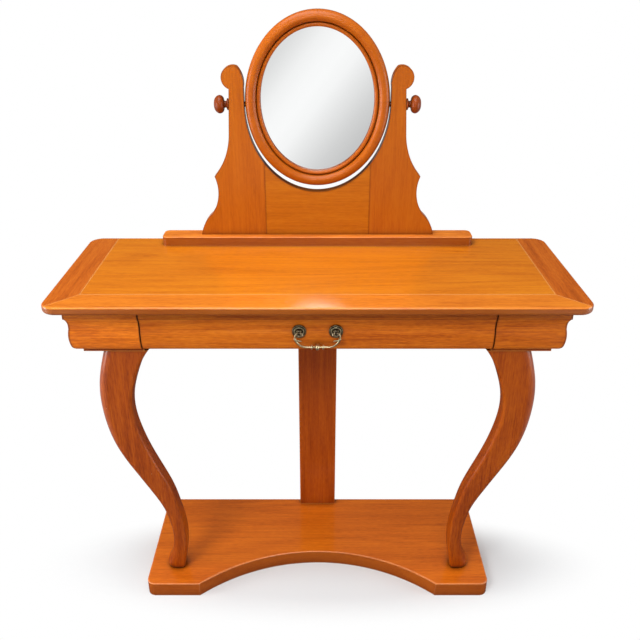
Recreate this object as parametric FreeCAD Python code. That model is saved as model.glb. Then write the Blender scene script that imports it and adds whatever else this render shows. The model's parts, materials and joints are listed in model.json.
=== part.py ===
import FreeCAD, Part
import math
import os

# Dressing table with an oval tilting mirror, in millimetres.
# X runs to the right as one faces the drawer, Y to the back, Z up.
# The origin is on the floor, under the middle of the table top.

V = FreeCAD.Vector

# Table top
table_height = 790.0
top_length = 1105.5
top_depth = 399.5
top_thickness = 18.0
border_width = 65.0
top_corner_radius = 30.0
top_upper_round = 4.0
top_lower_round = 7.0

# Frieze moulding: insets are measured in from the front edge of the top, drops down from its surface.
# At the sides the top reaches a little further out.
side_overhang_extra = 2.75
fillet_inset = 31.5
fillet_drop = 41.4
fillet_step = 1.2
cove_inset = 38.0
cove_drop = 60.0
belly_start_drop = 66.0
belly_inset = 35.8
shoulder_inset = 38.4
shoulder_drop = 107.0
frieze_bottom_inset = 50.5
frieze_drop = 118.4
frieze_back_inset = 56.0
frieze_rear_overhang = 47.5

# Carcase
carcase_end_width = 126.75
end_board_thickness = 18.0
end_board_drop = 127.5
end_board_lip = 1.25
cheek_thickness = 18.0
back_board_thickness = 18.0
back_board_setback = 78.5
corner_block_size = 30.0
runner_width = 22.0
runner_height = 20.0
runner_rise = 3.0
kicker_height = 20.0
stop_length = 18.0
stop_height = 14.0
stop_width = 12.0

# Drawer
drawer_gap = 2.5
drawer_top_gap = 2.0
drawer_side_gap = 0.5
drawer_slide_gap = 0.3
drawer_side_thickness = 12.0
drawer_side_height = 56.0
drawer_rear_space = 30.0
drawer_back_thickness = 12.0
drawer_back_inset = 2.5
drawer_back_drop = 5.0
drawer_bottom_thickness = 5.0
drawer_bottom_rise = 6.7
drawer_groove_depth = 5.0
drawer_housing_depth = 4.0
groove_clearance = 0.1
dovetail_count = 3
dovetail_depth = 10.0
dovetail_root = 9.0
dovetail_flare = 2.0

# Drawer pull
pull_spacing = 76.0
pull_drop = 70.5
rosette_radius = 14.5
rosette_thickness = 5.0
rosette_seat_depth = 1.3
rosette_clearance = 0.1
post_reach = 10.5
post_shank_radius = 2.0
post_neck_radius = 2.6
post_head_radius = 4.3
post_head_thickness = 4.8
nut_radius = 4.6
nut_flange_radius = 5.5
nut_thickness = 4.2
nut_flange_thickness = 1.2
bail_wire_radius = 2.2
bail_pin_radius = 1.5
bail_pin_clearance = 0.1
bail_drop = 31.5
bail_scroll_reach = 8.4
bail_elbow_radius = 1.6
bail_joint_radius = 2.35
bail_knuckle_radius = 2.9
bail_leaf_length = 12.0
bail_swell_radius = 7.6

# Turned bead and ring of the grip: start, crest and end as shares of half the grip's length,
# the crest's radius as a share of the wire's
bail_turning_shares = [
    (0.185, 0.265, 1.3, 0.345),
    (0.430, 0.505, 2.5, 0.580),
]

# Legs
leg_depth = 40.0
leg_setback = 2.0
leg_inset = 13.5
leg_sweep = 160.0
leg_outer_round_share = 0.5
leg_round_share = 0.2
foot_round = 6.0

# Leg outline, from the top down: share of the leg's height, then the outer and the inner
# edge as shares of its sweep, measured in from the knee, then the share of the foot's rounding
leg_outline_shares = [
    (1.000, 0.159, 0.769, 0.0),
    (0.964, 0.113, 0.672, 0.0),
    (0.916, 0.062, 0.585, 0.0),
    (0.860, 0.018, 0.508, 0.0),
    (0.804, 0.000, 0.455, 0.0),
    (0.740, 0.008, 0.444, 0.0),
    (0.668, 0.046, 0.485, 0.0),
    (0.596, 0.121, 0.560, 0.0),
    (0.524, 0.241, 0.660, 0.0),
    (0.452, 0.391, 0.773, 0.0),
    (0.380, 0.542, 0.872, 0.0),
    (0.307, 0.678, 0.937, 0.0),
    (0.235, 0.759, 0.985, 0.0),
    (0.163, 0.792, 1.004, 0.0),
    (0.099, 0.768, 0.988, 0.0),
    (0.054, 0.709, 0.960, 0.0),
    (0.022, 0.663, 0.942, 0.0),
    (0.006, 0.663, 0.942, 0.35),
    (0.000, 0.663, 0.942, 1.0),
]

# Column and plinth
column_width = 96.0
column_thickness = 20.0
column_top_gap = 10.0
column_round = 2.0
plinth_thickness = 38.0
plinth_front_margin = 48.5
plinth_side_margin = 44.0
plinth_end_width = 129.5
plinth_hollow_depth = 108.3
plinth_corner_radius = 20.0
plinth_round = 2.5

# Mirror support
support_length = 740.5
support_depth = 51.5
support_thickness = 22.0
support_corner_radius = 13.0
support_round = 1.8
upright_thickness = 23.0
upright_setback = 19.0
upright_spread = 114.0
upright_rise = 385.4
seam_width = 244.0
ear_radius = 25.5
ear_reach = 48.4
ear_notch_angle = -68.0
ear_top_angle = 112.0
ear_inner_drop = 48.0
ear_inner_shares = (0.25, 0.66)

# Outer edge of an upright: shares of its spread beyond the mirror opening and of its rise
upright_foot_shares = [(1.000, 0.000), (0.934, 0.064), (0.756, 0.1325)]
upright_hollow_shares = [(0.756, 0.1325), (0.613, 0.236), (0.661, 0.366)]
upright_sweep_shares = [(0.661, 0.366), (0.452, 0.464), (0.327, 0.623)]

# Mirror: the pivots stand at a share of the uprights' rise, the mirror's middle a little above them
pivot_rise_share = 0.7842
pivot_setback = 11.5
mirror_lift = 6.3
opening_side_gap = 2.0
opening_foot_gap = 1.2
sight_width = 254.6
sight_height = 311.8
frame_width = 33.5
frame_depth = 26.0
frame_pivot_depth = 9.0
lip_height = 7.2
lip_edge = 10.5
bead_width = 8.6
bead_height = 17.5
groove_width = 0.6
groove_height = 13.2
roll_crest = 17.6
frame_edge_height = 13.2
glass_thickness = 4.0
glass_lap = 6.0
backboard_thickness = 3.0
backboard_lap = 10.0
rebate_clearance = 0.4

# Pivots and knobs
screw_rod_radius = 3.0
rod_clearance = 0.08
insert_radius = 4.0
insert_length = 15.0
insert_recess = 1.0
rod_tip_gap = 1.0
bush_radius = 5.0
bush_recess = 0.5
washer_radius = 6.0
washer_bore_clearance = 0.2
washer_frame_gap = 0.4
washer_upright_gap = 0.3
knob_gap = 1.0
knob_ring_radius = 12.8
knob_ring_thickness = 3.5
knob_neck_radius = 8.0
knob_neck_length = 6.4
knob_radius = 19.8
knob_thickness = 22.0
knob_bore_depth = 14.0

# Clips behind the mirror
clip_count = 8
clip_length = 16.0
clip_width = 9.0
clip_thickness = 1.2
clip_start = 5.0
clip_screw_place = 16.0

# Fasteners
screw_clearance = 0.1
carcase_screw_radius = 2.2
carcase_screw_head_radius = 4.4
carcase_screw_head_depth = 2.6
clip_screw_radius = 1.1
clip_screw_head_radius = 2.4
clip_screw_head_depth = 1.2
clip_screw_length = 9.0
leg_bolt_radius = 3.5
leg_bolt_head_radius = 7.0
leg_bolt_head_depth = 4.0
leg_bolt_length = 60.0
plinth_screw_length = 62.0
plinth_counterbore_depth = 10.0
plinth_counterbore_radius = 8.0
column_screw_length = 34.0
runner_screw_length = 34.0
top_screw_length = 32.0
support_screw_length = 35.0
dowel_radius = 4.0
dowel_length = 36.0
dowel_depth = 12.0

# Cuts run past a face by this much
overrun = 5.0

# Places worked out from the sizes above
half_length = top_length / 2
half_depth = top_depth / 2
slab_bottom = table_height - top_thickness
frieze_corner_x = half_length - side_overhang_extra
frieze_back_x = frieze_corner_x - frieze_back_inset
frieze_back_y = -half_depth + frieze_back_inset
frieze_bottom = table_height - frieze_drop
frieze_rear_y = half_depth - frieze_rear_overhang
opening_half = frieze_back_x - carcase_end_width
back_board_rear = half_depth - back_board_setback + back_board_thickness
back_board_front = back_board_rear - back_board_thickness
drawer_length = back_board_front - frieze_back_y - drawer_rear_space
end_board_bottom = table_height - end_board_drop
end_board_top = end_board_bottom + end_board_thickness
end_board_inner_x = opening_half - end_board_lip
drawer_half = opening_half - drawer_gap
cheek_inner_x = drawer_half + drawer_side_gap
drawer_side_inner_x = drawer_half - drawer_side_thickness
runner_top = frieze_bottom + runner_rise + runner_height
leg_front = frieze_back_y + leg_setback
leg_back = leg_front + leg_depth
knee_x = frieze_back_x - leg_inset
leg_height = end_board_bottom - plinth_thickness
foot_outer_x = knee_x - leg_outline_shares[-1][1] * leg_sweep
foot_inner_x = knee_x - leg_outline_shares[-1][2] * leg_sweep
foot_x = (foot_outer_x + foot_inner_x) / 2
leg_mid_y = (leg_front + leg_back) / 2
column_front = back_board_front - column_thickness
column_mid_y = (column_front + back_board_front) / 2
plinth_half = foot_outer_x + plinth_side_margin
plinth_front = leg_front - plinth_front_margin
support_rear = half_depth - top_upper_round
support_front = support_rear - support_depth
support_top = table_height + support_thickness
upright_front = support_front + upright_setback
upright_back = upright_front + upright_thickness
upright_mid_y = (upright_front + upright_back) / 2
pivot_y = upright_front + pivot_setback
pivot_z = support_top + upright_rise * pivot_rise_share
mirror_z = pivot_z + mirror_lift
frame_half_width = sight_width / 2 + frame_width
frame_half_height = sight_height / 2 + frame_width
frame_back = pivot_y + frame_pivot_depth
opening_half_width = frame_half_width + opening_side_gap
opening_drop = frame_half_height + mirror_lift + opening_foot_gap
seam_half = seam_width / 2
pull_z = table_height - pull_drop
rosette_back = -half_depth + belly_inset + rosette_seat_depth
eye_y = rosette_back - post_reach


def block(x0, x1, y0, y1, z0, z1):
    """A square-edged board between two corners."""
    return Part.makeBox(x1 - x0, y1 - y0, z1 - z0, V(x0, y0, z0))


def outline(place, start, steps):
    """A face bounded by straight steps (end,) and curved steps (middle, end)."""
    edges = []
    here = start
    for step in steps:
        end = step[-1]
        if len(step) == 1:
            edges.append(Part.LineSegment(place(here), place(end)).toShape())
        else:
            edges.append(Part.Arc(place(here), place(step[0]), place(end)).toShape())
        here = end
    return Part.Face(Part.Wire(edges))


def plan(points, z0, z1):
    """A prism standing on a polygon in plan."""
    corners = [V(x, y, z0) for x, y in points]
    face = Part.Face(Part.makePolygon(corners + corners[:1]))
    return face.extrude(V(0, 0, z1 - z0))


def across(axis):
    """A direction square to an axis."""
    return V(1, 0, 0) if abs(axis.z) > abs(axis.x) + abs(axis.y) else V(0, 0, 1)


def turned(points, origin, axis):
    """A turned piece: (radius, distance along the axis) points, turned about the axis."""
    side = across(axis)
    corners = [origin + axis * along + side * radius for radius, along in points]
    face = Part.Face(Part.makePolygon(corners + corners[:1]))
    return face.revolve(origin, axis, 360)


def turned_arcs(start, steps, origin, axis):
    """A turned piece whose half section has curved steps."""
    def place(point):
        return origin + axis * point[1] + across(axis) * point[0]
    return outline(place, start, steps).revolve(origin, axis, 360)


def opposite(shape):
    """The same shape on the other side of the table's middle."""
    return shape.mirror(V(0, 0, 0), V(1, 0, 0))


def both(shape):
    """A shape and its mirror image."""
    return [shape, opposite(shape)]


def fused(first, others):
    """One solid from pieces that are one piece of wood or metal."""
    whole = first.fuse(others)
    return whole.removeSplitter()


def rounded(shape, radius, chosen):
    """Rounds the edges for which chosen(edge) is true."""
    edges = [edge for edge in shape.Edges if chosen(edge)]
    return shape.makeFillet(radius, edges)


def upright_edge(edge):
    """True for an edge that runs straight up."""
    run = edge.Vertexes[-1].Point - edge.Vertexes[0].Point
    return abs(run.x) + abs(run.y) < abs(run.z) * 0.001


def level_edge(edge, z):
    """True for an edge that lies at one height."""
    box = edge.BoundBox
    return abs(box.ZMin - z) + abs(box.ZMax - z) < top_thickness * 0.001


def wood_screw(head, axis, length, radius, head_radius, head_depth, grow=0):
    """A countersunk screw whose head is flush at one point and whose tip is along the axis."""
    points = [
        (0, 0),
        (head_radius + grow, 0),
        (radius + grow, head_depth),
        (radius + grow, length - 2 * radius),
        (0, length + grow),
    ]
    return turned(points, head, axis)


def carcase_screw(head, axis, length, grow=0):
    """The screw used all over the carcase."""
    return wood_screw(head, axis, length, carcase_screw_radius, carcase_screw_head_radius,
                      carcase_screw_head_depth, grow)


def without(shape, tools):
    """A piece after its holes and sockets are cut."""
    return shape.cut(tools) if tools else shape


# Fasteners, made once for the holes and once for themselves

def leg_bolts(grow=0):
    """Two screws down through each end board into the leg."""
    bolts = []
    for share in (0.3, 0.7):
        top_outer = knee_x - leg_outline_shares[0][1] * leg_sweep
        top_inner = knee_x - leg_outline_shares[0][2] * leg_sweep
        x = top_inner + (top_outer - top_inner) * share
        head = V(x, leg_mid_y, end_board_top)
        bolt = wood_screw(head, V(0, 0, -1), leg_bolt_length, leg_bolt_radius,
                          leg_bolt_head_radius, leg_bolt_head_depth, grow)
        bolts += both(bolt)
    return bolts


def plinth_screws(grow=0):
    """Screws up through the plinth into the feet and the column."""
    places = [(foot_x, leg_mid_y), (column_width / 4, column_mid_y)]
    screws = []
    for x, y in places:
        head = V(x, y, plinth_counterbore_depth)
        screws += both(carcase_screw(head, V(0, 0, 1), plinth_screw_length, grow))
    return screws


def plinth_counterbores():
    """Recesses under the plinth for the screw heads."""
    recesses = []
    for x, y in [(foot_x, leg_mid_y), (column_width / 4, column_mid_y)]:
        bore = Part.makeCylinder(plinth_counterbore_radius, plinth_counterbore_depth + overrun,
                                 V(x, y, -overrun))
        recesses += both(bore)
    return recesses


def column_screws(grow=0):
    """Screws through the back board into the head of the column."""
    screws = []
    board_height = slab_bottom - frieze_bottom
    for share in (0.3, 0.7):
        head = V(column_width / 4, back_board_rear, frieze_bottom + board_height * share)
        screws += both(carcase_screw(head, V(0, -1, 0), column_screw_length, grow))
    return screws


def runner_screws(grow=0):
    """Screws through the runners into the cheeks."""
    screws = []
    run = back_board_front - frieze_back_y
    for share in (0.15, 0.5, 0.85):
        head = V(cheek_inner_x - runner_width, frieze_back_y + run * share, (end_board_top + runner_top) / 2)
        screws += both(carcase_screw(head, V(1, 0, 0), runner_screw_length, grow))
    return screws


def top_screws(grow=0):
    """Screws up through the kickers into the top."""
    screws = []
    run = back_board_front - frieze_back_y
    for share in (0.15, 0.5, 0.85):
        head = V(cheek_inner_x - runner_width / 2, frieze_back_y + run * share, slab_bottom - kicker_height)
        screws += both(carcase_screw(head, V(0, 0, 1), top_screw_length, grow))
    return screws


def support_screws(grow=0):
    """Screws up through the top into the base of the mirror support."""
    screws = []
    for share in (-0.8, -0.5, 0, 0.5, 0.8):
        head = V(share * support_length / 2, upright_mid_y, slab_bottom)
        screws.append(carcase_screw(head, V(0, 0, 1), support_screw_length, grow))
    return screws


def support_dowels():
    """Dowels from the base up into the three boards, and across their two seams."""
    dowels = []
    upright_foot = opening_half_width + upright_spread - seam_half
    for x in (seam_half / 2, seam_half + upright_foot * 0.2, seam_half + upright_foot * 0.8):
        foot = V(x, upright_mid_y, support_top - dowel_depth)
        dowels += both(Part.makeCylinder(dowel_radius, dowel_length, foot))
    seam_height = pivot_z - opening_drop - support_top
    for share in (0.35, 1.1):
        start = V(seam_half - dowel_length / 2, upright_mid_y, support_top + seam_height * share)
        dowels += both(Part.makeCylinder(dowel_radius, dowel_length, start, V(1, 0, 0)))
    return dowels


# Table top

def top_slab():
    """The whole top as one rounded board, from which its four boards are taken."""
    slab = block(-half_length, half_length, -half_depth, half_depth, slab_bottom, table_height)
    slab = rounded(slab, top_corner_radius, upright_edge)
    slab = rounded(slab, top_upper_round, lambda edge: level_edge(edge, table_height))
    return rounded(slab, top_lower_round, lambda edge: level_edge(edge, slab_bottom))


def top_boards():
    """The long-grain field and the three border boards, mitred at the front corners."""
    slab = top_slab()
    inner_x = half_length - border_width
    inner_y = -half_depth + border_width
    out_x = half_length + overrun
    out_y = -half_depth - overrun
    rear = half_depth + overrun
    low = slab_bottom - overrun
    high = table_height + overrun
    field = plan([(-inner_x, inner_y), (inner_x, inner_y), (inner_x, rear), (-inner_x, rear)], low, high)
    front = plan([(-out_x, out_y), (out_x, out_y), (inner_x, inner_y), (-inner_x, inner_y)], low, high)
    side = plan([(out_x, out_y), (out_x, rear), (inner_x, rear), (inner_x, inner_y)], low, high)
    holes = top_screws(screw_clearance) + support_screws(screw_clearance)
    right = slab.common(side)
    return {
        "top_panel": without(slab.common(field), holes),
        "top_border_front": slab.common(front),
        "top_border_right": right,
        "top_border_left": opposite(right),
    }


# Frieze

def frieze_section(place, top_drop):
    """The moulding's section: fillet, cove and belly, with a flat back."""
    cove_middle = (fillet_inset + (cove_inset - fillet_inset) * 0.83,
                   fillet_drop + (cove_drop - fillet_drop) * 0.473)
    belly_middle = (belly_inset, (belly_start_drop + shoulder_drop) / 2)
    shoulder_middle = (shoulder_inset + (frieze_bottom_inset - shoulder_inset) * 0.324,
                       shoulder_drop + (frieze_drop - shoulder_drop) * 0.57)
    steps = [
        ((fillet_inset, fillet_drop),),
        ((fillet_inset + fillet_step, fillet_drop),),
        (cove_middle, (cove_inset, cove_drop)),
        ((cove_inset, belly_start_drop),),
        (belly_middle, (shoulder_inset, shoulder_drop)),
        (shoulder_middle, (frieze_bottom_inset, frieze_drop)),
        ((frieze_back_inset, frieze_drop),),
        ((frieze_back_inset, top_drop),),
        ((fillet_inset, top_drop),),
    ]
    return outline(place, (fillet_inset, top_drop), steps)


def front_moulding(x0, x1, top_drop):
    """A length of the moulding along the front."""
    def place(point):
        return V(x0, -half_depth + point[0], table_height - point[1])
    return frieze_section(place, top_drop).extrude(V(x1 - x0, 0, 0))


def side_moulding():
    """The moulding along the right side, before its mitre."""
    def place(point):
        return V(frieze_corner_x - point[0], -half_depth, table_height - point[1])
    return frieze_section(place, top_thickness).extrude(V(0, frieze_rear_y + half_depth, 0))


def friezes():
    """The two short front pieces and the two side pieces, mitred at the corners."""
    low = frieze_bottom - overrun
    corner = (frieze_corner_x, -half_depth)
    inner = (frieze_back_x, frieze_back_y)
    front_region = plan([(opening_half, -half_depth), corner, inner, (opening_half, frieze_back_y)],
                        low, table_height)
    side_region = plan([corner, (frieze_corner_x, frieze_rear_y), (frieze_back_x, frieze_rear_y), inner],
                       low, table_height)
    front = front_moulding(opening_half, frieze_corner_x, top_thickness).common(front_region)
    side = side_moulding().common(side_region)
    return {
        "frieze_front_right": front,
        "frieze_front_left": opposite(front),
        "frieze_side_right": side,
        "frieze_side_left": opposite(side),
    }


# Carcase

def carcase():
    """Boards, blocks and strips behind the frieze."""
    back = block(-frieze_back_x, frieze_back_x, back_board_front, back_board_rear, frieze_bottom, slab_bottom)
    end = block(end_board_inner_x, frieze_back_x, frieze_back_y, back_board_front,
                end_board_bottom, end_board_top)
    cheek = block(cheek_inner_x, cheek_inner_x + cheek_thickness, frieze_back_y, back_board_front,
                  end_board_top, slab_bottom)
    runner = block(cheek_inner_x - runner_width, cheek_inner_x, frieze_back_y + drawer_gap, back_board_front,
                   runner_top - runner_height, runner_top)
    kicker = block(cheek_inner_x - runner_width, cheek_inner_x, frieze_back_y + drawer_gap, back_board_front,
                   slab_bottom - kicker_height, slab_bottom)
    stop_x = drawer_side_inner_x
    stop_y = frieze_back_y + drawer_length + drawer_slide_gap
    stop = block(stop_x, stop_x + stop_width, stop_y, stop_y + stop_length,
                 runner_top, runner_top + stop_height)
    end = without(end, leg_bolts(screw_clearance))
    cheek = without(cheek, runner_screws(screw_clearance))
    runner = without(runner, runner_screws(screw_clearance))
    kicker = without(kicker, top_screws(screw_clearance))
    pieces = {
        "carcase_back": without(back, column_screws(screw_clearance)),
        "corner_blocks": Part.makeCompound(corner_blocks()),
        "drawer_stops": Part.makeCompound(both(stop)),
    }
    for name, shape in (("end_board", end), ("drawer_cheek", cheek), ("drawer_runner", runner),
                        ("drawer_kicker", kicker)):
        pieces[name + "_right"] = shape
        pieces[name + "_left"] = opposite(shape)
    return pieces


def corner_blocks():
    """Three-cornered glue blocks in the four corners of the carcase."""
    blocks = []
    for y, turn in ((frieze_back_y, 1), (back_board_front, -1)):
        corner = [(frieze_back_x, y), (frieze_back_x - corner_block_size, y),
                  (frieze_back_x, y + turn * corner_block_size)]
        blocks += both(plan(corner, end_board_top, slab_bottom))
    return blocks


# Drawer

def dovetails():
    """The tails on the front end of the right drawer side."""
    tails = []
    pitch = drawer_side_height / dovetail_count
    bottom = runner_top + drawer_slide_gap
    for number in range(dovetail_count):
        middle = bottom + pitch * (number + 1 / 2)
        root = dovetail_root / 2
        flare = root + dovetail_flare
        corners = [
            V(drawer_side_inner_x, frieze_back_y, middle - root),
            V(drawer_side_inner_x, frieze_back_y, middle + root),
            V(drawer_side_inner_x, frieze_back_y - dovetail_depth, middle + flare),
            V(drawer_side_inner_x, frieze_back_y - dovetail_depth, middle - flare),
        ]
        face = Part.Face(Part.makePolygon(corners + corners[:1]))
        tails.append(face.extrude(V(drawer_side_thickness, 0, 0)))
    return tails


def drawer():
    """The drawer: a moulded front dovetailed to two sides, a housed back and a grooved bottom."""
    low = runner_top + drawer_slide_gap
    rear = frieze_back_y + drawer_length
    bottom_low = low + drawer_bottom_rise
    bottom_high = bottom_low + drawer_bottom_thickness
    bottom_half = drawer_side_inner_x + drawer_groove_depth - groove_clearance
    groove_half = drawer_side_inner_x + drawer_groove_depth
    groove_front = frieze_back_y - drawer_groove_depth
    back_half = drawer_side_inner_x + drawer_housing_depth
    back_front = rear - drawer_back_inset - drawer_back_thickness
    bottom = block(-bottom_half, bottom_half, groove_front + groove_clearance, rear, bottom_low, bottom_high)
    groove = block(-groove_half, groove_half, groove_front, rear + overrun,
                   bottom_low - groove_clearance, bottom_high + groove_clearance)
    back_low = bottom_high + groove_clearance
    back_high = low + drawer_side_height - drawer_back_drop
    back = block(-back_half, back_half, back_front, back_front + drawer_back_thickness, back_low, back_high)
    side = block(drawer_side_inner_x, drawer_half, frieze_back_y, rear, low, low + drawer_side_height)
    side = fused(side, dovetails()).cut([groove, back])
    front = front_moulding(-drawer_half, drawer_half, top_thickness + drawer_top_gap)
    sockets = []
    for tail in dovetails():
        sockets += both(tail)
    front = front.cut(sockets + [groove] + both(post_hole()) + both(rosette_seat()))
    return {
        "drawer_front": front,
        "drawer_side_right": side,
        "drawer_side_left": opposite(side),
        "drawer_back": back,
        "drawer_bottom": bottom,
    }


# Drawer pull

def post_hole():
    """The hole for one post through the drawer front."""
    return Part.makeCylinder(post_shank_radius + screw_clearance, frieze_back_y - eye_y,
                             V(pull_spacing / 2, eye_y, pull_z), V(0, 1, 0))


def rosette_seat():
    """The flat-bottomed seat that lets one rosette into the belly of the drawer front."""
    return Part.makeCylinder(rosette_radius + rosette_clearance, rosette_thickness + post_reach,
                             V(pull_spacing / 2, rosette_back, pull_z), V(0, -1, 0))


def rosette():
    """A stepped round plate under a post, turned with a rim, a hollow and a raised ring."""
    bore = post_shank_radius + screw_clearance
    start = (bore, 0)
    steps = [
        ((rosette_radius, 0),),
        ((rosette_radius, rosette_thickness * 0.24),),
        ((rosette_radius * 0.97, rosette_thickness * 0.46),
         (rosette_radius * 0.88, rosette_thickness * 0.50)),
        ((rosette_radius * 0.80, rosette_thickness * 0.36),),
        ((rosette_radius * 0.72, rosette_thickness * 0.86),
         (rosette_radius * 0.56, rosette_thickness * 0.80)),
        ((rosette_radius * 0.46, rosette_thickness * 0.54),),
        ((rosette_radius * 0.30, rosette_thickness),),
        ((bore, rosette_thickness),),
        ((bore, 0),),
    ]
    origin = V(pull_spacing / 2, rosette_back, pull_z)
    return turned_arcs(start, steps, origin, V(0, -1, 0))


def post():
    """An eye post: threaded shank, waisted neck and a round head with flat cheeks and a cross hole."""
    shank = Part.makeCylinder(post_shank_radius, nut_end() - rosette_back + rosette_thickness,
                              V(pull_spacing / 2, rosette_back - rosette_thickness, pull_z), V(0, 1, 0))
    neck = turned_arcs((0, rosette_thickness), [
        ((rosette_radius * 0.28, rosette_thickness),),
        ((post_neck_radius * 0.8, (rosette_thickness + post_reach - post_head_radius) / 2),
         (post_neck_radius, post_reach - post_head_radius * 0.6)),
        ((0, post_reach - post_head_radius * 0.6),),
        ((0, rosette_thickness),),
    ], V(pull_spacing / 2, rosette_back, pull_z), V(0, -1, 0))
    eye = V(pull_spacing / 2, eye_y, pull_z)
    cheek = post_head_thickness / 2
    cheek_radius = math.sqrt(post_head_radius ** 2 - cheek ** 2)
    head = turned_arcs((0, -cheek), [
        ((cheek_radius, -cheek),),
        ((post_head_radius, 0), (cheek_radius, cheek)),
        ((0, cheek),),
        ((0, -cheek),),
    ], eye, V(1, 0, 0))
    bore = Part.makeCylinder(bail_pin_radius + bail_pin_clearance, 2 * post_head_radius,
                             V(eye.x - post_head_radius, eye_y, pull_z), V(1, 0, 0))
    return fused(shank, [neck, head]).cut(bore)


def nut_end():
    """The inner end of a post's shank, level with its nut."""
    return frieze_back_y + nut_thickness + nut_flange_thickness


def nut():
    """A six-sided flanged nut on the shank, against the back of the drawer front."""
    centre = V(pull_spacing / 2, frieze_back_y, pull_z)
    flange = Part.makeCylinder(nut_flange_radius, nut_flange_thickness, centre, V(0, 1, 0))
    corners = []
    for number in range(6):
        angle = math.radians(60 * number)
        corners.append(centre + V(nut_radius * math.cos(angle), nut_flange_thickness,
                                  nut_radius * math.sin(angle)))
    hexagon = Part.Face(Part.makePolygon(corners + corners[:1])).extrude(V(0, nut_thickness, 0))
    bore = Part.makeCylinder(post_shank_radius, 4 * nut_thickness,
                             centre - V(0, nut_thickness, 0), V(0, 1, 0))
    return fused(flange, [hexagon]).cut(bore)


def bail_place(point):
    """A point of the bail's right half: across from its post, and down from its pins."""
    return V(pull_spacing / 2 + point[0], eye_y, pull_z + point[1])


def bail_tube(points, radius):
    """A round bar along arcs through (start, middle, end, middle, end ...) points."""
    edges = []
    for number in range(0, len(points) - 2, 2):
        corners = [bail_place(point) for point in points[number:number + 3]]
        edges.append(Part.Arc(*corners).toShape())
    path = Part.Wire(edges)
    start = edges[0].valueAt(edges[0].FirstParameter)
    run = edges[0].tangentAt(edges[0].FirstParameter)
    section = Part.Wire(Part.makeCircle(radius, start, run))
    return path.makePipeShell([section], True, False)


def bail_ball(radius, point):
    """A round swelling on the bar of the bail."""
    return Part.makeSphere(radius, bail_place(point), V(0, 1, 0))


def bail():
    """The swan-neck bail: pins through the posts, scrolled ends, leaves and a turned grip."""
    reach = bail_scroll_reach
    drop = bail_drop
    pin = Part.makeCylinder(bail_pin_radius, post_head_thickness * 1.5,
                            bail_place((-post_head_thickness * 0.75, 0)), V(1, 0, 0))
    hook = bail_tube([(-post_head_thickness * 0.75, 0), (-reach * 0.66, -reach * 0.14),
                      (-reach * 0.80, -reach * 0.52)], bail_pin_radius)
    tip = bail_ball(bail_elbow_radius, (-reach * 0.80, -reach * 0.52))
    scroll = bail_tube([(post_head_thickness * 0.75, 0), (reach * 0.86, -reach * 0.42),
                        (reach, -reach * 1.35)], bail_pin_radius)
    elbow = bail_ball(bail_elbow_radius, (post_head_thickness * 0.75, 0))
    inner_elbow = bail_ball(bail_elbow_radius, (-post_head_thickness * 0.75, 0))
    knuckle = bail_ball(bail_knuckle_radius, (reach * 0.97, -reach * 1.55))
    neck = bail_tube([(reach * 0.97, -reach * 1.55), (reach * 0.62, -reach * 2.34),
                      (-reach * 0.10, -drop * 0.84), (-reach * 0.85, -drop * 0.965),
                      (-reach * 1.75, -drop)], bail_wire_radius)
    leaf_run = V(-bail_leaf_length, 0, -bail_leaf_length * 0.14)
    leaf = Part.makeCone(bail_wire_radius * 0.9, bail_pin_radius * 0.6, leaf_run.Length,
                         bail_place((reach * 0.80, -reach * 1.92)), leaf_run)
    grip_end = (-reach * 1.75, -drop)
    grip = bail_grip(bail_place(grip_end).x)
    joint = bail_ball(bail_joint_radius, grip_end)
    half = [pin, hook, tip, scroll, elbow, inner_elbow, knuckle, neck, leaf, joint]
    pieces = [opposite(grip)]
    for piece in half:
        pieces += both(piece)
    return fused(grip, pieces)


def bail_grip(reach):
    """The right half of the grip: half a swelling at the middle, then a bead and a ring."""
    wire = bail_wire_radius
    swell = bail_swell_radius
    steps = [((swell, 0),), ((swell * 0.85, reach * 0.10), (wire, reach * 0.165))]
    for start_share, crest_share, crest, end_share in bail_turning_shares:
        steps.append(((wire, reach * start_share),))
        steps.append(((wire * crest, reach * crest_share), (wire, reach * end_share)))
    steps += [((wire, reach),), ((0, reach),), ((0, 0),)]
    origin = V(0, eye_y, pull_z - bail_drop)
    return turned_arcs((0, 0), steps, origin, V(1, 0, 0))


# Legs, column and plinth

def leg_section(row):
    """One level section of the right leg, a rectangle with soft corners, softest in front outside."""
    height_share, outer_share, inner_share, draw_share = row
    draw = foot_round * draw_share
    z = plinth_thickness + leg_height * height_share
    outer = knee_x - leg_sweep * outer_share - draw
    inner = knee_x - leg_sweep * inner_share + draw
    front = leg_front + draw
    back = leg_back - draw
    thin = min(outer - inner, back - front)
    soft = thin * leg_outer_round_share
    small = thin * leg_round_share
    corner = math.sqrt(1 / 2)

    def arc_middle(x, y, radius, x_side, y_side):
        return (x - x_side * radius * (1 - corner), y - y_side * radius * (1 - corner))

    def place(point):
        return V(point[0], point[1], z)

    steps = [
        ((outer - soft, front),),
        (arc_middle(outer, front, soft, 1, -1), (outer, front + soft)),
        ((outer, back - small),),
        (arc_middle(outer, back, small, 1, 1), (outer - small, back)),
        ((inner + small, back),),
        (arc_middle(inner, back, small, -1, 1), (inner, back - small)),
        ((inner, front + small),),
        (arc_middle(inner, front, small, -1, -1), (inner + small, front)),
    ]
    return outline(place, (inner + small, front), steps).OuterWire


def leg():
    """The right leg, lofted through level sections of its S-shaped outline."""
    sections = [leg_section(row) for row in leg_outline_shares]
    solid = Part.makeLoft(sections, True, False)
    return without(solid, leg_bolts(screw_clearance) + plinth_screws(screw_clearance))


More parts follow.
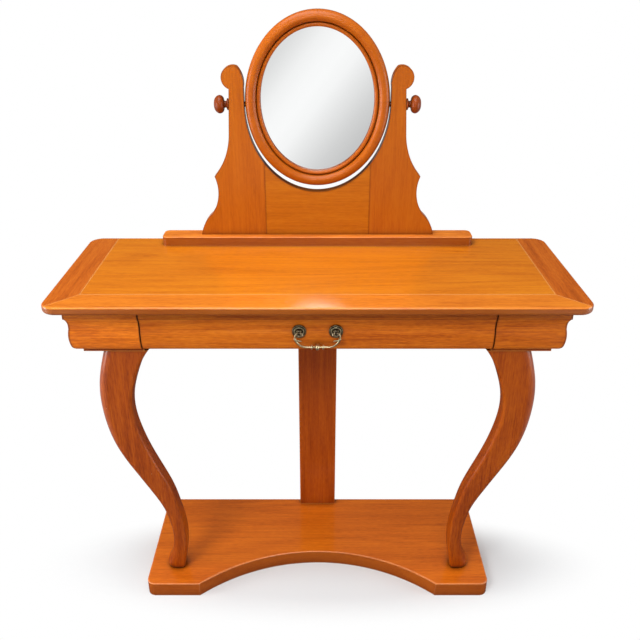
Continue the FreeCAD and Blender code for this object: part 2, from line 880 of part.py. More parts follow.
def column():
    """The flat column between the plinth and the back board."""
    board = block(-column_width / 2, column_width / 2, column_front, back_board_front,
                  plinth_thickness, slab_bottom - column_top_gap)
    board = rounded(board, column_round,
                    lambda edge: upright_edge(edge) and edge.BoundBox.YMax < column_mid_y)
    return without(board, column_screws(screw_clearance) + plinth_screws(screw_clearance))


def plinth():
    """The plinth board: square-ended feet at the front with a hollow between them."""
    notch = plinth_half - plinth_end_width
    apex = (0, plinth_front + plinth_hollow_depth)
    radius = plinth_corner_radius
    corner = radius * (1 - math.sqrt(1 / 2))

    def place(point):
        return V(point[0], point[1], 0)

    steps = [
        (apex, (notch, plinth_front)),
        ((plinth_half - radius, plinth_front),),
        ((plinth_half - corner, plinth_front + corner), (plinth_half, plinth_front + radius)),
        ((plinth_half, back_board_front),),
        ((-plinth_half, back_board_front),),
        ((-plinth_half, plinth_front + radius),),
        ((-plinth_half + corner, plinth_front + corner), (-plinth_half + radius, plinth_front)),
        ((-notch, plinth_front),),
    ]
    board = outline(place, (-notch, plinth_front), steps).extrude(V(0, 0, plinth_thickness))
    board = rounded(board, plinth_round, lambda edge: level_edge(edge, plinth_thickness))
    return without(board, plinth_counterbores() + plinth_screws(screw_clearance))


# Mirror support

def support_base():
    """The base of the mirror support, rounded at its ends and along its upper edge."""
    board = block(-support_length / 2, support_length / 2, support_front, support_rear,
                  table_height, support_top)
    board = rounded(board, support_corner_radius, upright_edge)
    board = rounded(board, support_round, lambda edge: level_edge(edge, support_top))
    return without(board, support_screws(screw_clearance) + support_dowels())


def opening_arc(first, last):
    """A stretch of the oval opening, between two angles from its top through the right side."""
    middle = V(0, upright_front, pivot_z)
    tall = middle + V(0, 0, opening_drop)
    wide = middle + V(opening_half_width, 0, 0)
    return Part.ArcOfEllipse(Part.Ellipse(tall, wide, middle), first, last).toShape()


def seam_angle():
    """The angle on the oval opening at which it meets a seam."""
    return math.pi - math.asin(seam_half / opening_half_width)


def seam_top():
    """The height at which a seam meets the oval opening."""
    return pivot_z + opening_drop * math.cos(seam_angle())


def centre_panel():
    """The board between the uprights, with the oval hollow that the mirror swings in."""
    low = support_top
    left = V(-seam_half, upright_front, low)
    right = V(seam_half, upright_front, low)
    right_top = V(seam_half, upright_front, seam_top())
    left_top = V(-seam_half, upright_front, seam_top())
    edges = [
        Part.LineSegment(left_top, left).toShape(),
        Part.LineSegment(left, right).toShape(),
        Part.LineSegment(right, right_top).toShape(),
        opening_arc(seam_angle(), 2 * math.pi - seam_angle()),
    ]
    board = Part.Face(Part.Wire(edges)).extrude(V(0, upright_thickness, 0))
    return without(board, support_dowels())


def upright():
    """The right upright: ogee foot, sharp cusp, straight shank and round ear."""
    def place(point):
        return V(opening_half_width + upright_spread * point[0], upright_front,
                 support_top + upright_rise * point[1])

    ear_start = ear_point(ear_notch_angle)
    ear_middle = ear_point((ear_notch_angle + ear_top_angle) / 2)
    ear_top = ear_point(ear_top_angle)
    inner_end = V(opening_half_width, upright_front, support_top + upright_rise - ear_inner_drop)
    inner_run = ear_top - inner_end
    inner_middle = inner_end + V(inner_run.x * ear_inner_shares[0], 0, inner_run.z * ear_inner_shares[1])
    foot = [place(point) for point in upright_foot_shares]
    hollow = [place(point) for point in upright_hollow_shares]
    sweep = [place(point) for point in upright_sweep_shares]
    inner_foot = V(seam_half, upright_front, support_top)
    seam_end = V(seam_half, upright_front, seam_top())
    pivot = V(opening_half_width, upright_front, pivot_z)
    edges = [
        Part.LineSegment(inner_foot, foot[0]).toShape(),
        Part.Arc(*foot).toShape(),
        Part.Arc(*hollow).toShape(),
        Part.Arc(*sweep).toShape(),
        Part.LineSegment(sweep[-1], ear_start).toShape(),
        Part.Arc(ear_start, ear_middle, ear_top).toShape(),
        Part.Arc(ear_top, inner_middle, inner_end).toShape(),
        Part.LineSegment(inner_end, pivot).toShape(),
        opening_arc(math.pi / 2, seam_angle()),
        Part.LineSegment(seam_end, inner_foot).toShape(),
    ]
    board = Part.Face(Part.Wire(edges)).extrude(V(0, upright_thickness, 0))
    return without(board, support_dowels() + [bush_hole()])


def ear_point(degrees):
    """A point on the edge of the right upright's round ear, by its angle up from level."""
    angle = math.radians(degrees)
    return V(opening_half_width + ear_reach - ear_radius + ear_radius * math.cos(angle), upright_front,
             support_top + upright_rise - ear_radius + ear_radius * math.sin(angle))


def shank_edge_x():
    """How far out the straight shank of the right upright is, level with the pivot."""
    low_x = opening_half_width + upright_spread * upright_sweep_shares[-1][0]
    low_z = support_top + upright_rise * upright_sweep_shares[-1][1]
    notch = ear_point(ear_notch_angle)
    return low_x + (notch.x - low_x) * (pivot_z - low_z) / (notch.z - low_z)


# Pivots and knobs

def on_pivot(x):
    """A point on the line that the mirror tilts about."""
    return V(x, pivot_y, pivot_z)


def tube(outer, inner, x0, x1):
    """A plain sleeve on the pivot line."""
    sleeve = Part.makeCylinder(outer, x1 - x0, on_pivot(x0), V(1, 0, 0))
    bore = Part.makeCylinder(inner, x1 - x0 + 2 * overrun, on_pivot(x0 - overrun), V(1, 0, 0))
    return sleeve.cut(bore)


def bush_hole():
    """The hole for the bush through the right upright."""
    return Part.makeCylinder(bush_radius, upright_spread + 2 * overrun,
                             on_pivot(opening_half_width - overrun), V(1, 0, 0))


def insert_start():
    """The inner end of the threaded insert in the right side of the mirror frame."""
    return frame_half_width - insert_recess - insert_length


def pivot_parts():
    """Bushes in the uprights, washers beside the mirror, and inserts in its frame."""
    bore = screw_rod_radius + rod_clearance
    bush = tube(bush_radius, bore, opening_half_width + bush_recess, shank_edge_x() - bush_recess)
    washer = tube(washer_radius, screw_rod_radius + washer_bore_clearance,
                  frame_half_width + washer_frame_gap, opening_half_width - washer_upright_gap)
    insert = tube(insert_radius, bore, insert_start(), insert_start() + insert_length)
    return {
        "upright_bushes": Part.makeCompound(both(bush)),
        "pivot_washers": Part.makeCompound(both(washer)),
        "frame_inserts": Part.makeCompound(both(insert)),
    }


def knob():
    """The right knob: a ring, a waisted neck and a flattened ball, bored for its screw."""
    base = shank_edge_x() + knob_gap
    neck_start = knob_ring_thickness
    ball_start = neck_start + knob_neck_length
    ball_end = ball_start + knob_thickness
    ball_middle = (ball_start + ball_end) / 2
    steps = [
        ((knob_ring_radius * 0.9, 0),),
        ((knob_ring_radius, neck_start / 2), (knob_ring_radius * 0.9, neck_start)),
        ((knob_neck_radius * 1.1, neck_start),),
        ((knob_neck_radius * 0.9, (neck_start + ball_start) / 2), (knob_neck_radius * 1.1, ball_start)),
        ((knob_radius * 0.9, ball_start + knob_thickness * 0.18), (knob_radius, ball_middle)),
        ((knob_radius * 0.76, ball_end - knob_thickness * 0.15), (knob_radius * 0.15, ball_end)),
        ((0, ball_end),),
        ((0, 0),),
    ]
    solid = turned_arcs((0, 0), steps, on_pivot(base), V(1, 0, 0))
    return solid.cut(knob_screw())


def knob_screw():
    """The steel screw fixed in the right knob, through the upright and into the mirror frame."""
    tip = insert_start() + rod_tip_gap
    end = shank_edge_x() + knob_gap + knob_ring_thickness + knob_neck_length + knob_bore_depth
    return Part.makeCylinder(screw_rod_radius, end - tip, on_pivot(tip), V(1, 0, 0))


def knobs():
    """Both knobs and their screws."""
    return {
        "knob_right": knob(),
        "knob_left": opposite(knob()),
        "knob_screw_right": knob_screw(),
        "knob_screw_left": opposite(knob_screw()),
    }


# Mirror

def frame_section(side):
    """The frame's section at one side: bead, groove, roll and flat back, rebated for the glass."""
    def place(point):
        return V(side * (sight_width / 2 + point[0]), frame_back - point[1], mirror_z)

    glass_rebate = glass_lap + rebate_clearance
    board_rebate = backboard_lap + rebate_clearance
    groove = bead_width + groove_width
    inner_middle = (groove + (roll_crest - groove) * 0.22,
                    groove_height + (frame_depth - groove_height) * 0.58)
    outer_middle = (roll_crest + (frame_width - roll_crest) * 0.68,
                    frame_edge_height + (frame_depth - frame_edge_height) * 0.73)
    steps = [
        ((frame_width, frame_edge_height),),
        (outer_middle, (roll_crest, frame_depth)),
        (inner_middle, (groove, groove_height)),
        ((bead_width, groove_height),),
        ((bead_width / 2, bead_height), (0, lip_edge)),
        ((0, lip_height),),
        ((glass_rebate, lip_height),),
        ((glass_rebate, backboard_thickness),),
        ((board_rebate, backboard_thickness),),
        ((board_rebate, 0),),
        ((frame_width, 0),),
    ]
    return outline(place, (frame_width, 0), steps).OuterWire


def sight_oval():
    """The oval of the frame's inner edge."""
    middle = V(0, frame_back, mirror_z)
    return Part.Ellipse(middle + V(0, 0, sight_height / 2), middle + V(sight_width / 2, 0, 0), middle)


def frame_quarter(side):
    """The right end of the frame's upper half (side -1) or lower half (side 1), swept round the oval."""
    first = side * math.pi / 2
    path = Part.Wire(Part.ArcOfEllipse(sight_oval(), first, first + math.pi).toShape())
    half = path.makePipeShell([frame_section(side)], True, True)
    reach = frame_half_width + overrun
    rise = frame_half_height + overrun
    return half.common(block(0, reach, frame_back - frame_depth - overrun, frame_back + overrun,
                             mirror_z - rise, mirror_z + rise))


def oval_board(lap, y0, y1):
    """A flat oval that laps behind the frame's inner edge."""
    middle = V(0, y0, mirror_z)
    tall = middle + V(0, 0, sight_height / 2 + lap)
    wide = middle + V(sight_width / 2 + lap, 0, 0)
    edge = Part.Wire(Part.Ellipse(tall, wide, middle).toShape())
    return Part.Face(edge).extrude(V(0, y1 - y0, 0))


def round_the_oval(shape):
    """Copies of a shape, made at the right of the oval, spaced round it and square to it."""
    copies = []
    wide = sight_width / 2
    tall = sight_height / 2
    for number in range(clip_count):
        angle = 2 * math.pi * (number + 1 / 2) / clip_count
        x = wide * math.cos(angle)
        z = tall * math.sin(angle)
        lean = math.degrees(math.atan2(wide * math.sin(angle), tall * math.cos(angle)))
        copy = shape.copy()
        copy.rotate(V(0, 0, 0), V(0, -1, 0), lean)
        copy.translate(V(x, frame_back, mirror_z + z))
        copies.append(copy)
    return copies


def clip_screw(grow=0):
    """A small screw through a clip, at the right of the oval before it is placed."""
    return wood_screw(V(clip_screw_place, clip_thickness, 0), V(0, -1, 0), clip_screw_length,
                      clip_screw_radius, clip_screw_head_radius, clip_screw_head_depth, grow)


def mirror():
    """The frame in four quarters, the glass, its backboard and the clips that hold them."""
    insert = Part.makeCylinder(insert_radius, insert_length + overrun, on_pivot(insert_start()), V(1, 0, 0))
    holes = round_the_oval(clip_screw(screw_clearance)) + [insert]
    upper = without(frame_quarter(-1), holes)
    lower = without(frame_quarter(1), holes)
    clip = block(clip_start, clip_start + clip_length, 0, clip_thickness, -clip_width / 2, clip_width / 2)
    clip = clip.cut(clip_screw(screw_clearance))
    glass_front = frame_back - backboard_thickness - glass_thickness
    return {
        "mirror_frame_upper_right": upper,
        "mirror_frame_upper_left": opposite(upper),
        "mirror_frame_lower_right": lower,
        "mirror_frame_lower_left": opposite(lower),
        "mirror_glass": oval_board(glass_lap, glass_front, glass_front + glass_thickness),
        "mirror_backboard": oval_board(backboard_lap, frame_back - backboard_thickness, frame_back),
        "backboard_clips": Part.makeCompound(round_the_oval(clip)),
        "clip_screws": Part.makeCompound(round_the_oval(clip_screw())),
    }


def fasteners():
    """Screws and dowels, each kind a group of separate solids."""
    return {
        "leg_bolts": Part.makeCompound(leg_bolts()),
        "plinth_screws": Part.makeCompound(plinth_screws()),
        "column_screws": Part.makeCompound(column_screws()),
        "runner_screws": Part.makeCompound(runner_screws()),
        "top_screws": Part.makeCompound(top_screws()),
        "support_screws": Part.makeCompound(support_screws()),
        "support_dowels": Part.makeCompound(support_dowels()),
    }


def dressing_table():
    """Every piece by name."""
    pieces = {}
    for group in (top_boards(), friezes(), carcase(), drawer(), pivot_parts(), knobs(), mirror(),
                  fasteners()):
        pieces.update(group)
    pieces["pull_rosettes"] = Part.makeCompound(both(rosette()))
    pieces["pull_posts"] = Part.makeCompound(both(post()))
    pieces["pull_nuts"] = Part.makeCompound(both(nut()))
    pieces["pull_bail"] = bail()
    pieces["leg_right"] = leg()
    pieces["leg_left"] = opposite(leg())
    pieces["column"] = column()
    pieces["plinth"] = plinth()
    pieces["support_base"] = support_base()
    pieces["support_panel"] = centre_panel()
    pieces["support_upright_right"] = upright()
    pieces["support_upright_left"] = opposite(upright())
    return pieces


os.makedirs("parts", exist_ok=True)
for name, shape in dressing_table().items():
    shape.exportStep("parts/" + name + ".step")
    print(name, len(shape.Solids), "solids", round(shape.Volume), "valid" if shape.isValid() else "NOT VALID")
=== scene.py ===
# %% [markdown]
# # Dressing table with a tilting oval mirror
#
# The table is stained cherry under satin lacquer. The solid pieces and their places come from the
# construction model; this lesson eases their arrises and gives them their timber, metal and glass.
# Lengths on the table and the place of the eye are written in millimetres, the way a joiner would, and
# turned to metres with one value. The studio round them is laid out in metres.

# %% The fixed frame of the table
import json
import math

import bmesh
import bpy
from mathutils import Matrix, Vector


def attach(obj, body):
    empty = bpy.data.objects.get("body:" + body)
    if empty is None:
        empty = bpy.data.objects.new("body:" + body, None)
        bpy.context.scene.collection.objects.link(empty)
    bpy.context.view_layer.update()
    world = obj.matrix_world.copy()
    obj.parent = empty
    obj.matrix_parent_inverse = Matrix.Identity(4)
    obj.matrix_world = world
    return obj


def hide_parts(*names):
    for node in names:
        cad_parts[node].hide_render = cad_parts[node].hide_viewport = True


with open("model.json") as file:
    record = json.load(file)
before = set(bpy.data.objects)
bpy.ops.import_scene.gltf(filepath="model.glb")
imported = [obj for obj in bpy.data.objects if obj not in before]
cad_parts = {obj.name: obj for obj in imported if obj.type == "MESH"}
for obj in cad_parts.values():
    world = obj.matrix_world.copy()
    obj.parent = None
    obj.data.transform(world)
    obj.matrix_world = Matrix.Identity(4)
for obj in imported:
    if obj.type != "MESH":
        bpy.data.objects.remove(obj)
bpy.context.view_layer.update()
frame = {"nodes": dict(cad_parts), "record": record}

MM = 0.001
scene = bpy.context.scene
scene.view_settings.view_transform = "Standard"
record = frame["record"]
body_of = {node: body for body, nodes in record["behaviour"]["bodies"].items() for node in nodes}
slot_of = {entry["node"]: entry["material_slot"] for entry in record["subparts"]}
print("pieces from the construction model:", len(body_of))

# %% [markdown]
# ## Colours
# A stain or a metal is easiest to choose as a hex colour on a screen. The shaders work with linear
# light, so one function turns each of the three sRGB bytes to its linear value.

# %% Hex colour to linear light
def linear(hex_colour):
    """A hex colour as linear red, green, blue and a full alpha."""
    channels = [int(hex_colour[i:i + 2], 16) / 255 for i in (1, 3, 5)]
    light = [c / 12.92 if c <= 0.04045 else ((c + 0.055) / 1.055) ** 2.4 for c in channels]
    return (*light, 1.0)


WHITE = (1, 1, 1, 1)
print("cherry stain in linear light:", [round(c, 3) for c in linear("#b5601f")])

# %% [markdown]
# ## Camera
# The table is seen straight from the front, from a standing person's eye height and less than two
# metres away, so that its sides draw together strongly. The lens and the tilt were worked out from the
# edges of the top and of the plinth. The shift places the middle of the lens a few pixels off the
# middle of the picture, as the framing needs.

# %% Camera
PICTURE = 640                # pixels along each side of the picture
FOCAL_PIXELS = 724.1         # focal length in pixels of that picture
SHIFT_PIXELS = (2.5, 0.5)
EYE_DISTANCE, EYE_HEIGHT = 1483.25, 1406.4    # mm before the middle of the top and over the floor
DOWNWARD_TILT = 26.626       # degrees below the horizon
lens = bpy.data.cameras.new("camera")
lens.sensor_width = 36.0
lens.lens = FOCAL_PIXELS / PICTURE * lens.sensor_width
lens.shift_x = SHIFT_PIXELS[0] / PICTURE
lens.shift_y = SHIFT_PIXELS[1] / PICTURE
camera = bpy.data.objects.new("camera", lens)
camera.location = (0, -EYE_DISTANCE * MM, EYE_HEIGHT * MM)
camera.rotation_euler = (math.radians(90 - DOWNWARD_TILT), 0, 0)
scene.collection.objects.link(camera)
scene.camera = camera
print("focal length in mm:", round(lens.lens, 2))

# %% [markdown]
# ## Adding shader nodes
# Each material is a small network. One function adds a node, gives it its settings and its links, so
# that the recipes below read as lists of steps. An input is named, or numbered after an underscore.

# %% One function adds a node
def add(tree, kind, settings=None, **links):
    """Adds a node: settings are its own values, links are its inputs."""
    node = tree.nodes.new(kind)
    for key, value in (settings or {}).items():
        setattr(node, key, value)
    for key, value in links.items():
        name = key.replace("_", " ").strip()
        socket = node.inputs[int(name)] if name.isdigit() else node.inputs[name]
        if isinstance(value, bpy.types.NodeSocket):
            tree.links.new(value, socket)
        else:
            socket.default_value = value
    return node


def new_material(name):
    """A material with an empty network."""
    material = bpy.data.materials.new(name)
    material.use_nodes = True
    material.node_tree.nodes.clear()
    return material, material.node_tree


def close_material(tree, surface):
    """Joins a shader to the material's output."""
    add(tree, "ShaderNodeOutputMaterial", Surface=surface)


SOFT_STEP = {"interpolation_type": "SMOOTHSTEP"}
print("one helper adds every node")

# %% [markdown]
# ## Studio floor
# The table stands on a white sweep. To the camera the sweep is white paper that keeps the soft shadow
# round the plinth. Outside a long oval round the front of the plinth the paper is burnt out to plain
# white, as a studio lights its background separately. Shiny lacquer sees a darker floor close to the
# table, so that its colour stays deep, and brighter strips beside it. For the light that it throws back
# it is an ordinary pale grey.

# %% White floor that keeps the shadow
floor_half = 40.0
floor_mesh = bpy.data.meshes.new("studio_floor")
floor_mesh.from_pydata([(-floor_half, -floor_half, 0), (floor_half, -floor_half, 0),
                        (floor_half, floor_half, 0), (-floor_half, floor_half, 0)], [], [(0, 1, 2, 3)])
floor = bpy.data.objects.new("studio_floor", floor_mesh)
floor.location.z = -0.2 * MM
scene.collection.objects.link(floor)

paper, tree = new_material("white_paper_sweep")
rays = add(tree, "ShaderNodeLightPath")
place = add(tree, "ShaderNodeTexCoord").outputs["Object"]

# what the camera sees: lit paper that fades to plain white over the rim of the oval
oval_half_width, oval_half_depth, oval_middle = 0.70, 0.19, -0.085
lit_part = add(tree, "ShaderNodeBsdfDiffuse", Color=(0.67, 0.68, 0.69, 1))
glow = add(tree, "ShaderNodeEmission", Color=WHITE, Strength=0.04)
near = add(tree, "ShaderNodeAddShader", _0=lit_part.outputs[0], _1=glow.outputs[0])
far = add(tree, "ShaderNodeEmission", Color=WHITE, Strength=1.0)
oval = add(tree, "ShaderNodeMapping", {"vector_type": "POINT"}, Vector=place,
           Scale=(1 / oval_half_width, 1 / oval_half_depth, 0),
           Location=(0, -oval_middle / oval_half_depth, 0))
oval_share = add(tree, "ShaderNodeVectorMath", {"operation": "LENGTH"}, _0=oval.outputs[0])
fade = add(tree, "ShaderNodeMapRange", SOFT_STEP,
           Value=oval_share.outputs["Value"], From_Min=0.55, From_Max=1.08)
shown = add(tree, "ShaderNodeMixShader", _0=fade.outputs[0], _1=near.outputs[0], _2=far.outputs[0])

# what reflections see: dark close by, paler from 1.5 to 4 m away and in strips beside the table
distance = add(tree, "ShaderNodeVectorMath", {"operation": "LENGTH"}, _0=place)
far_fade = add(tree, "ShaderNodeMapRange", SOFT_STEP, Value=distance.outputs["Value"],
               From_Min=1.5, From_Max=4.0, To_Min=0.05, To_Max=0.5)
floor_split = add(tree, "ShaderNodeSeparateXYZ", Vector=place)
aside = add(tree, "ShaderNodeMath", {"operation": "ABSOLUTE"}, _0=floor_split.outputs["X"])
strips = add(tree, "ShaderNodeMapRange", SOFT_STEP, Value=aside.outputs[0],
             From_Min=0.75, From_Max=1.05, To_Min=0.0, To_Max=0.6)
floor_level = add(tree, "ShaderNodeMath", {"operation": "MAXIMUM"},
                  _0=far_fade.outputs[0], _1=strips.outputs[0])
reflected = add(tree, "ShaderNodeEmission", Color=WHITE, Strength=floor_level.outputs[0])

plain = add(tree, "ShaderNodeBsdfDiffuse", Color=(0.62, 0.62, 0.62, 1))
seen = add(tree, "ShaderNodeMath", {"operation": "MAXIMUM"},
           _0=rays.outputs["Is Camera Ray"], _1=rays.outputs["Is Transmission Ray"])
indirect = add(tree, "ShaderNodeMixShader", _0=rays.outputs["Is Glossy Ray"],
               _1=plain.outputs[0], _2=reflected.outputs[0])
mixed = add(tree, "ShaderNodeMixShader", _0=seen.outputs[0], _1=indirect.outputs[0], _2=shown.outputs[0])
close_material(tree, mixed.outputs[0])
floor_mesh.materials.append(paper)
print("floor half width in m:", floor_half)

# %% [markdown]
# ## Studio air
# The camera sees white behind the table. Diffuse light comes evenly from all round. Reflections see a
# dark wall behind, a dim one in front, a brighter ceiling and bright walls at the two sides. So the
# broad faces keep the depth of the stain, and the rounded arrises that turn to the side get a highlight.

# %% World light
even_level, wall_level, ceiling_level, front_level, side_level = 0.20, 0.05, 0.6, 0.2, 0.6
world = bpy.data.worlds.new("studio")
scene.world = world
world.use_nodes = True
tree = world.node_tree
tree.nodes.clear()
rays = add(tree, "ShaderNodeLightPath")
white = add(tree, "ShaderNodeBackground", Color=WHITE, Strength=1.0)
even = add(tree, "ShaderNodeBackground", Color=WHITE, Strength=even_level)
direction = add(tree, "ShaderNodeTexCoord")
split = add(tree, "ShaderNodeSeparateXYZ", Vector=direction.outputs["Generated"])
height = add(tree, "ShaderNodeMapRange", SOFT_STEP, Value=split.outputs["Z"],
             From_Min=0.45, From_Max=0.95, To_Min=wall_level, To_Max=ceiling_level)
front = add(tree, "ShaderNodeMapRange", SOFT_STEP, Value=split.outputs["Y"],
            From_Min=-0.2, From_Max=-0.9, To_Min=0.0, To_Max=front_level)
aside = add(tree, "ShaderNodeMath", {"operation": "ABSOLUTE"}, _0=split.outputs["X"])
sides = add(tree, "ShaderNodeMapRange", SOFT_STEP, Value=aside.outputs[0],
            From_Min=0.55, From_Max=0.9, To_Min=0.0, To_Max=side_level)
ahead = add(tree, "ShaderNodeMath", {"operation": "ADD"}, _0=height.outputs[0], _1=front.outputs[0])
all_walls = add(tree, "ShaderNodeMath", {"operation": "ADD"}, _0=ahead.outputs[0], _1=sides.outputs[0])
walls = add(tree, "ShaderNodeBackground", Color=WHITE, Strength=all_walls.outputs[0])
seen = add(tree, "ShaderNodeMath", {"operation": "MAXIMUM"},
           _0=rays.outputs["Is Camera Ray"], _1=rays.outputs["Is Transmission Ray"])
indirect = add(tree, "ShaderNodeMixShader", _0=rays.outputs["Is Glossy Ray"],
               _1=even.outputs[0], _2=walls.outputs[0])
both_kinds = add(tree, "ShaderNodeMixShader", _0=seen.outputs[0],
                 _1=indirect.outputs[0], _2=white.outputs[0])
add(tree, "ShaderNodeOutputWorld", Surface=both_kinds.outputs[0])
print("studio air ready")

# %% [markdown]
# ## Reflector in front
# An upright mirror shows what stands in front of it. A photographer puts a large pale card there. It is
# brightest along a slanting band and greyer towards two of its corners, which gives silvered glass its
# quiet sheen. Only reflections see the card.

# %% Pale card for the mirror
def upright_card(name, half_width, half_height, place):
    """A card that stands upright and faces the table."""
    mesh = bpy.data.meshes.new(name)
    mesh.from_pydata([(-half_width, 0, -half_height), (half_width, 0, -half_height),
                      (half_width, 0, half_height), (-half_width, 0, half_height)], [], [(0, 1, 2, 3)])
    standing = bpy.data.objects.new(name, mesh)
    standing.location = place
    scene.collection.objects.link(standing)
    return standing


def show_in_reflections_only(standing):
    """Hides a card from everything but reflections."""
    standing.visible_camera = standing.visible_diffuse = False
    standing.visible_shadow = standing.visible_transmission = False


card_half_width, card_half_height, card_foot = 0.56, 0.56, 0.01
band_middle = 0.57           # height of the middle of the band's slant over the floor
band_width, band_height = 0.37, 0.46
card = upright_card("studio_card", card_half_width, card_half_height,
                    (0, -3.0, card_half_height + card_foot))
show_in_reflections_only(card)

pale_card, tree = new_material("pale_card")
place = add(tree, "ShaderNodeTexCoord")
split = add(tree, "ShaderNodeSeparateXYZ", Vector=place.outputs["Object"])
right_share = add(tree, "ShaderNodeMath", {"operation": "DIVIDE"}, _0=split.outputs["X"], _1=band_width)
up = add(tree, "ShaderNodeMath", {"operation": "ADD"}, _0=split.outputs["Z"],
         _1=card_half_height + card_foot - band_middle)
up_share = add(tree, "ShaderNodeMath", {"operation": "DIVIDE"}, _0=up.outputs[0], _1=band_height)
slant = add(tree, "ShaderNodeMath", {"operation": "SUBTRACT"},
            _0=right_share.outputs[0], _1=up_share.outputs[0])
ramp_place = add(tree, "ShaderNodeMapRange", Value=slant.outputs[0], From_Min=-1.6, From_Max=1.6)
band = add(tree, "ShaderNodeValToRGB", Fac=ramp_place.outputs[0])
band_stops = [(0.0, 0.70), (0.10, 0.77), (0.24, 0.93), (0.34, 0.985), (0.42, 1.0), (0.52, 0.96),
              (0.62, 0.85), (0.78, 0.685), (0.90, 0.595), (1.0, 0.55)]
band.color_ramp.elements[0].position = band_stops[0][0]
band.color_ramp.elements[1].position = band_stops[-1][0]
for position, level in band_stops[1:-1]:
    band.color_ramp.elements.new(position)
for stop, (position, level) in zip(band.color_ramp.elements, band_stops):
    stop.color = (level, level, level, 1)
card_light = add(tree, "ShaderNodeEmission", Color=band.outputs[0], Strength=1.0)
close_material(tree, card_light.outputs[0])
card.data.materials.append(pale_card)
print("card size in m:", 2 * card_half_width, 2 * card_half_height)

# %% [markdown]
# A second, wider card stands above the first and is much brighter. The camera never meets it in the
# mirror, but the polished top does: it sees the mirror, and in the mirror the card. That lays a pale
# sheen on the middle of the top's front edge, and small highlights on the knobs and the frame. After a
# diffuse bounce it is dark, so that the mirror throws no pool of light on the table.

# %% Bright card above it
sheen_level = 9.0
sheen_card = upright_card("sheen_card", 0.9, 0.45, (0, -3.5, 2.75))
show_in_reflections_only(sheen_card)
bright_card, tree = new_material("bright_card")
depth = add(tree, "ShaderNodeLightPath").outputs["Diffuse Depth"]
direct = add(tree, "ShaderNodeMapRange", Value=depth, From_Max=1.0, To_Min=sheen_level, To_Max=0.0)
card_light = add(tree, "ShaderNodeEmission", Color=WHITE, Strength=direct.outputs[0])
close_material(tree, card_light.outputs[0])
sheen_card.data.materials.append(bright_card)
print("sheen card at height", sheen_card.location.z)

# %% [markdown]
# ## Lamps
# Soft boxes do the rest: a large one above and a little in front, which lights the top and the plinth,
# one at the left front, which models the drawer, the uprights and the legs, and a weaker one high in
# front. These two in front don't show in reflections, so that the lacquer stays deep. Two tall boxes
# low at the sides brighten the outer arrises of the legs.

# %% Soft boxes
def soft_box(name, place, aim, size, watts):
    """A rectangular soft lamp at one point, turned to another."""
    lamp = bpy.data.lights.new(name, "AREA")
    lamp.shape = "RECTANGLE"
    lamp.size, lamp.size_y = size
    lamp.energy = watts
    box = bpy.data.objects.new(name, lamp)
    box.location = place
    box.rotation_euler = (Vector(aim) - Vector(place)).to_track_quat("-Z", "Y").to_euler()
    scene.collection.objects.link(box)
    return box


soft_box("overhead_box", (-0.3, -0.4, 3.0), (0, 0, 0.5), (2.2, 1.4), 44)
left_front = soft_box("left_front_box", (-1.6, -2.1, 2.9), (0, 0, 0.6), (1.2, 1.2), 66)
high_front = soft_box("high_front_box", (0.1, -3.0, 3.2), (0, 0, 0.8), (1.6, 1.0), 32)
left_front.visible_glossy = high_front.visible_glossy = False
soft_box("left_side_box", (-2.3, -0.5, 0.8), (-0.4, 0, 0.5), (0.8, 1.6), 27)
soft_box("right_side_box", (2.3, -0.5, 0.8), (0.4, 0, 0.5), (0.8, 1.6), 19)

# %% [markdown]
# ## Cherry
# Cherry is a close-grained timber. Sawn flat, its growth rings show as long nested loops a few
# millimetres to a few centimetres apart, and fine fibres run along the board between them, with short
# darker flecks. The orange-brown stain evens it out and satin lacquer lies over it as a thin clear
# coat. The rings are the contour lines of a noise that is stretched along the board, and the fibres
# and flecks are finer noises. Fibres are under half a millimetre wide, too fine to show from here, so
# they are drawn about 3 mm wide. Inner corners are darkened with painted shade wherever other surfaces
# come close, and the arrises carry a painted tone: on most boards a pale highlight that also stands for
# wear, on the others a darker shade. Faces that do not look up can be painted darker as shade too.

# %% Timber recipe
GRAIN_TURN = {"x": (0, 0, 0), "y": (0, 0, 90), "z": (0, 90, 0), "rise": (0, 45, 0), "fall": (0, -45, 0)}
RING_SIZE, RING_COUNT, RING_SHARE = (900, 120), 9.0, 0.09
# length and width in mm, step of the seed, detail, roughness, and share in the tone
GRAIN_NOISES = {
    "fibre": (110, 2.8, 1, 3.0, 0.6, 1.1),
    "streak": (320, 11, 5, 3.0, 0.6, 0.6),
    "fleck": (16, 2.0, 2, 2.0, 0.5, 0.9),
    "patch": (420, 130, 3, 2.0, 0.5, 0.8),
}
SHADE_SAMPLES = 6            # rays that feel for arrises and inner corners
ARRIS_DEPTH = 3.2            # mm that the painted tone of an arris reaches in from it
# painted shade for inner corners and for faces that do not look up, and the pale tone of chips
PAINTED_CORNER_SHADE, PAINTED_SIDE_SHADE, CHIPPED = "#3a1404", "#7a3404", "#e6b27c"


def stretched(tree, place, along, across, seed, detail, roughness):
    """A noise whose features are along mm long in the grain (X) and across mm wide."""
    shift = add(tree, "ShaderNodeMapping", Vector=place,
                Scale=(1000 / along, 1000 / across, 1000 / across),
                Location=(seed * 3.7, seed * 1.9, seed * 5.3))
    return add(tree, "ShaderNodeTexNoise", Vector=shift.outputs[0], Scale=1.0, Detail=detail,
               Roughness=roughness).outputs[0]


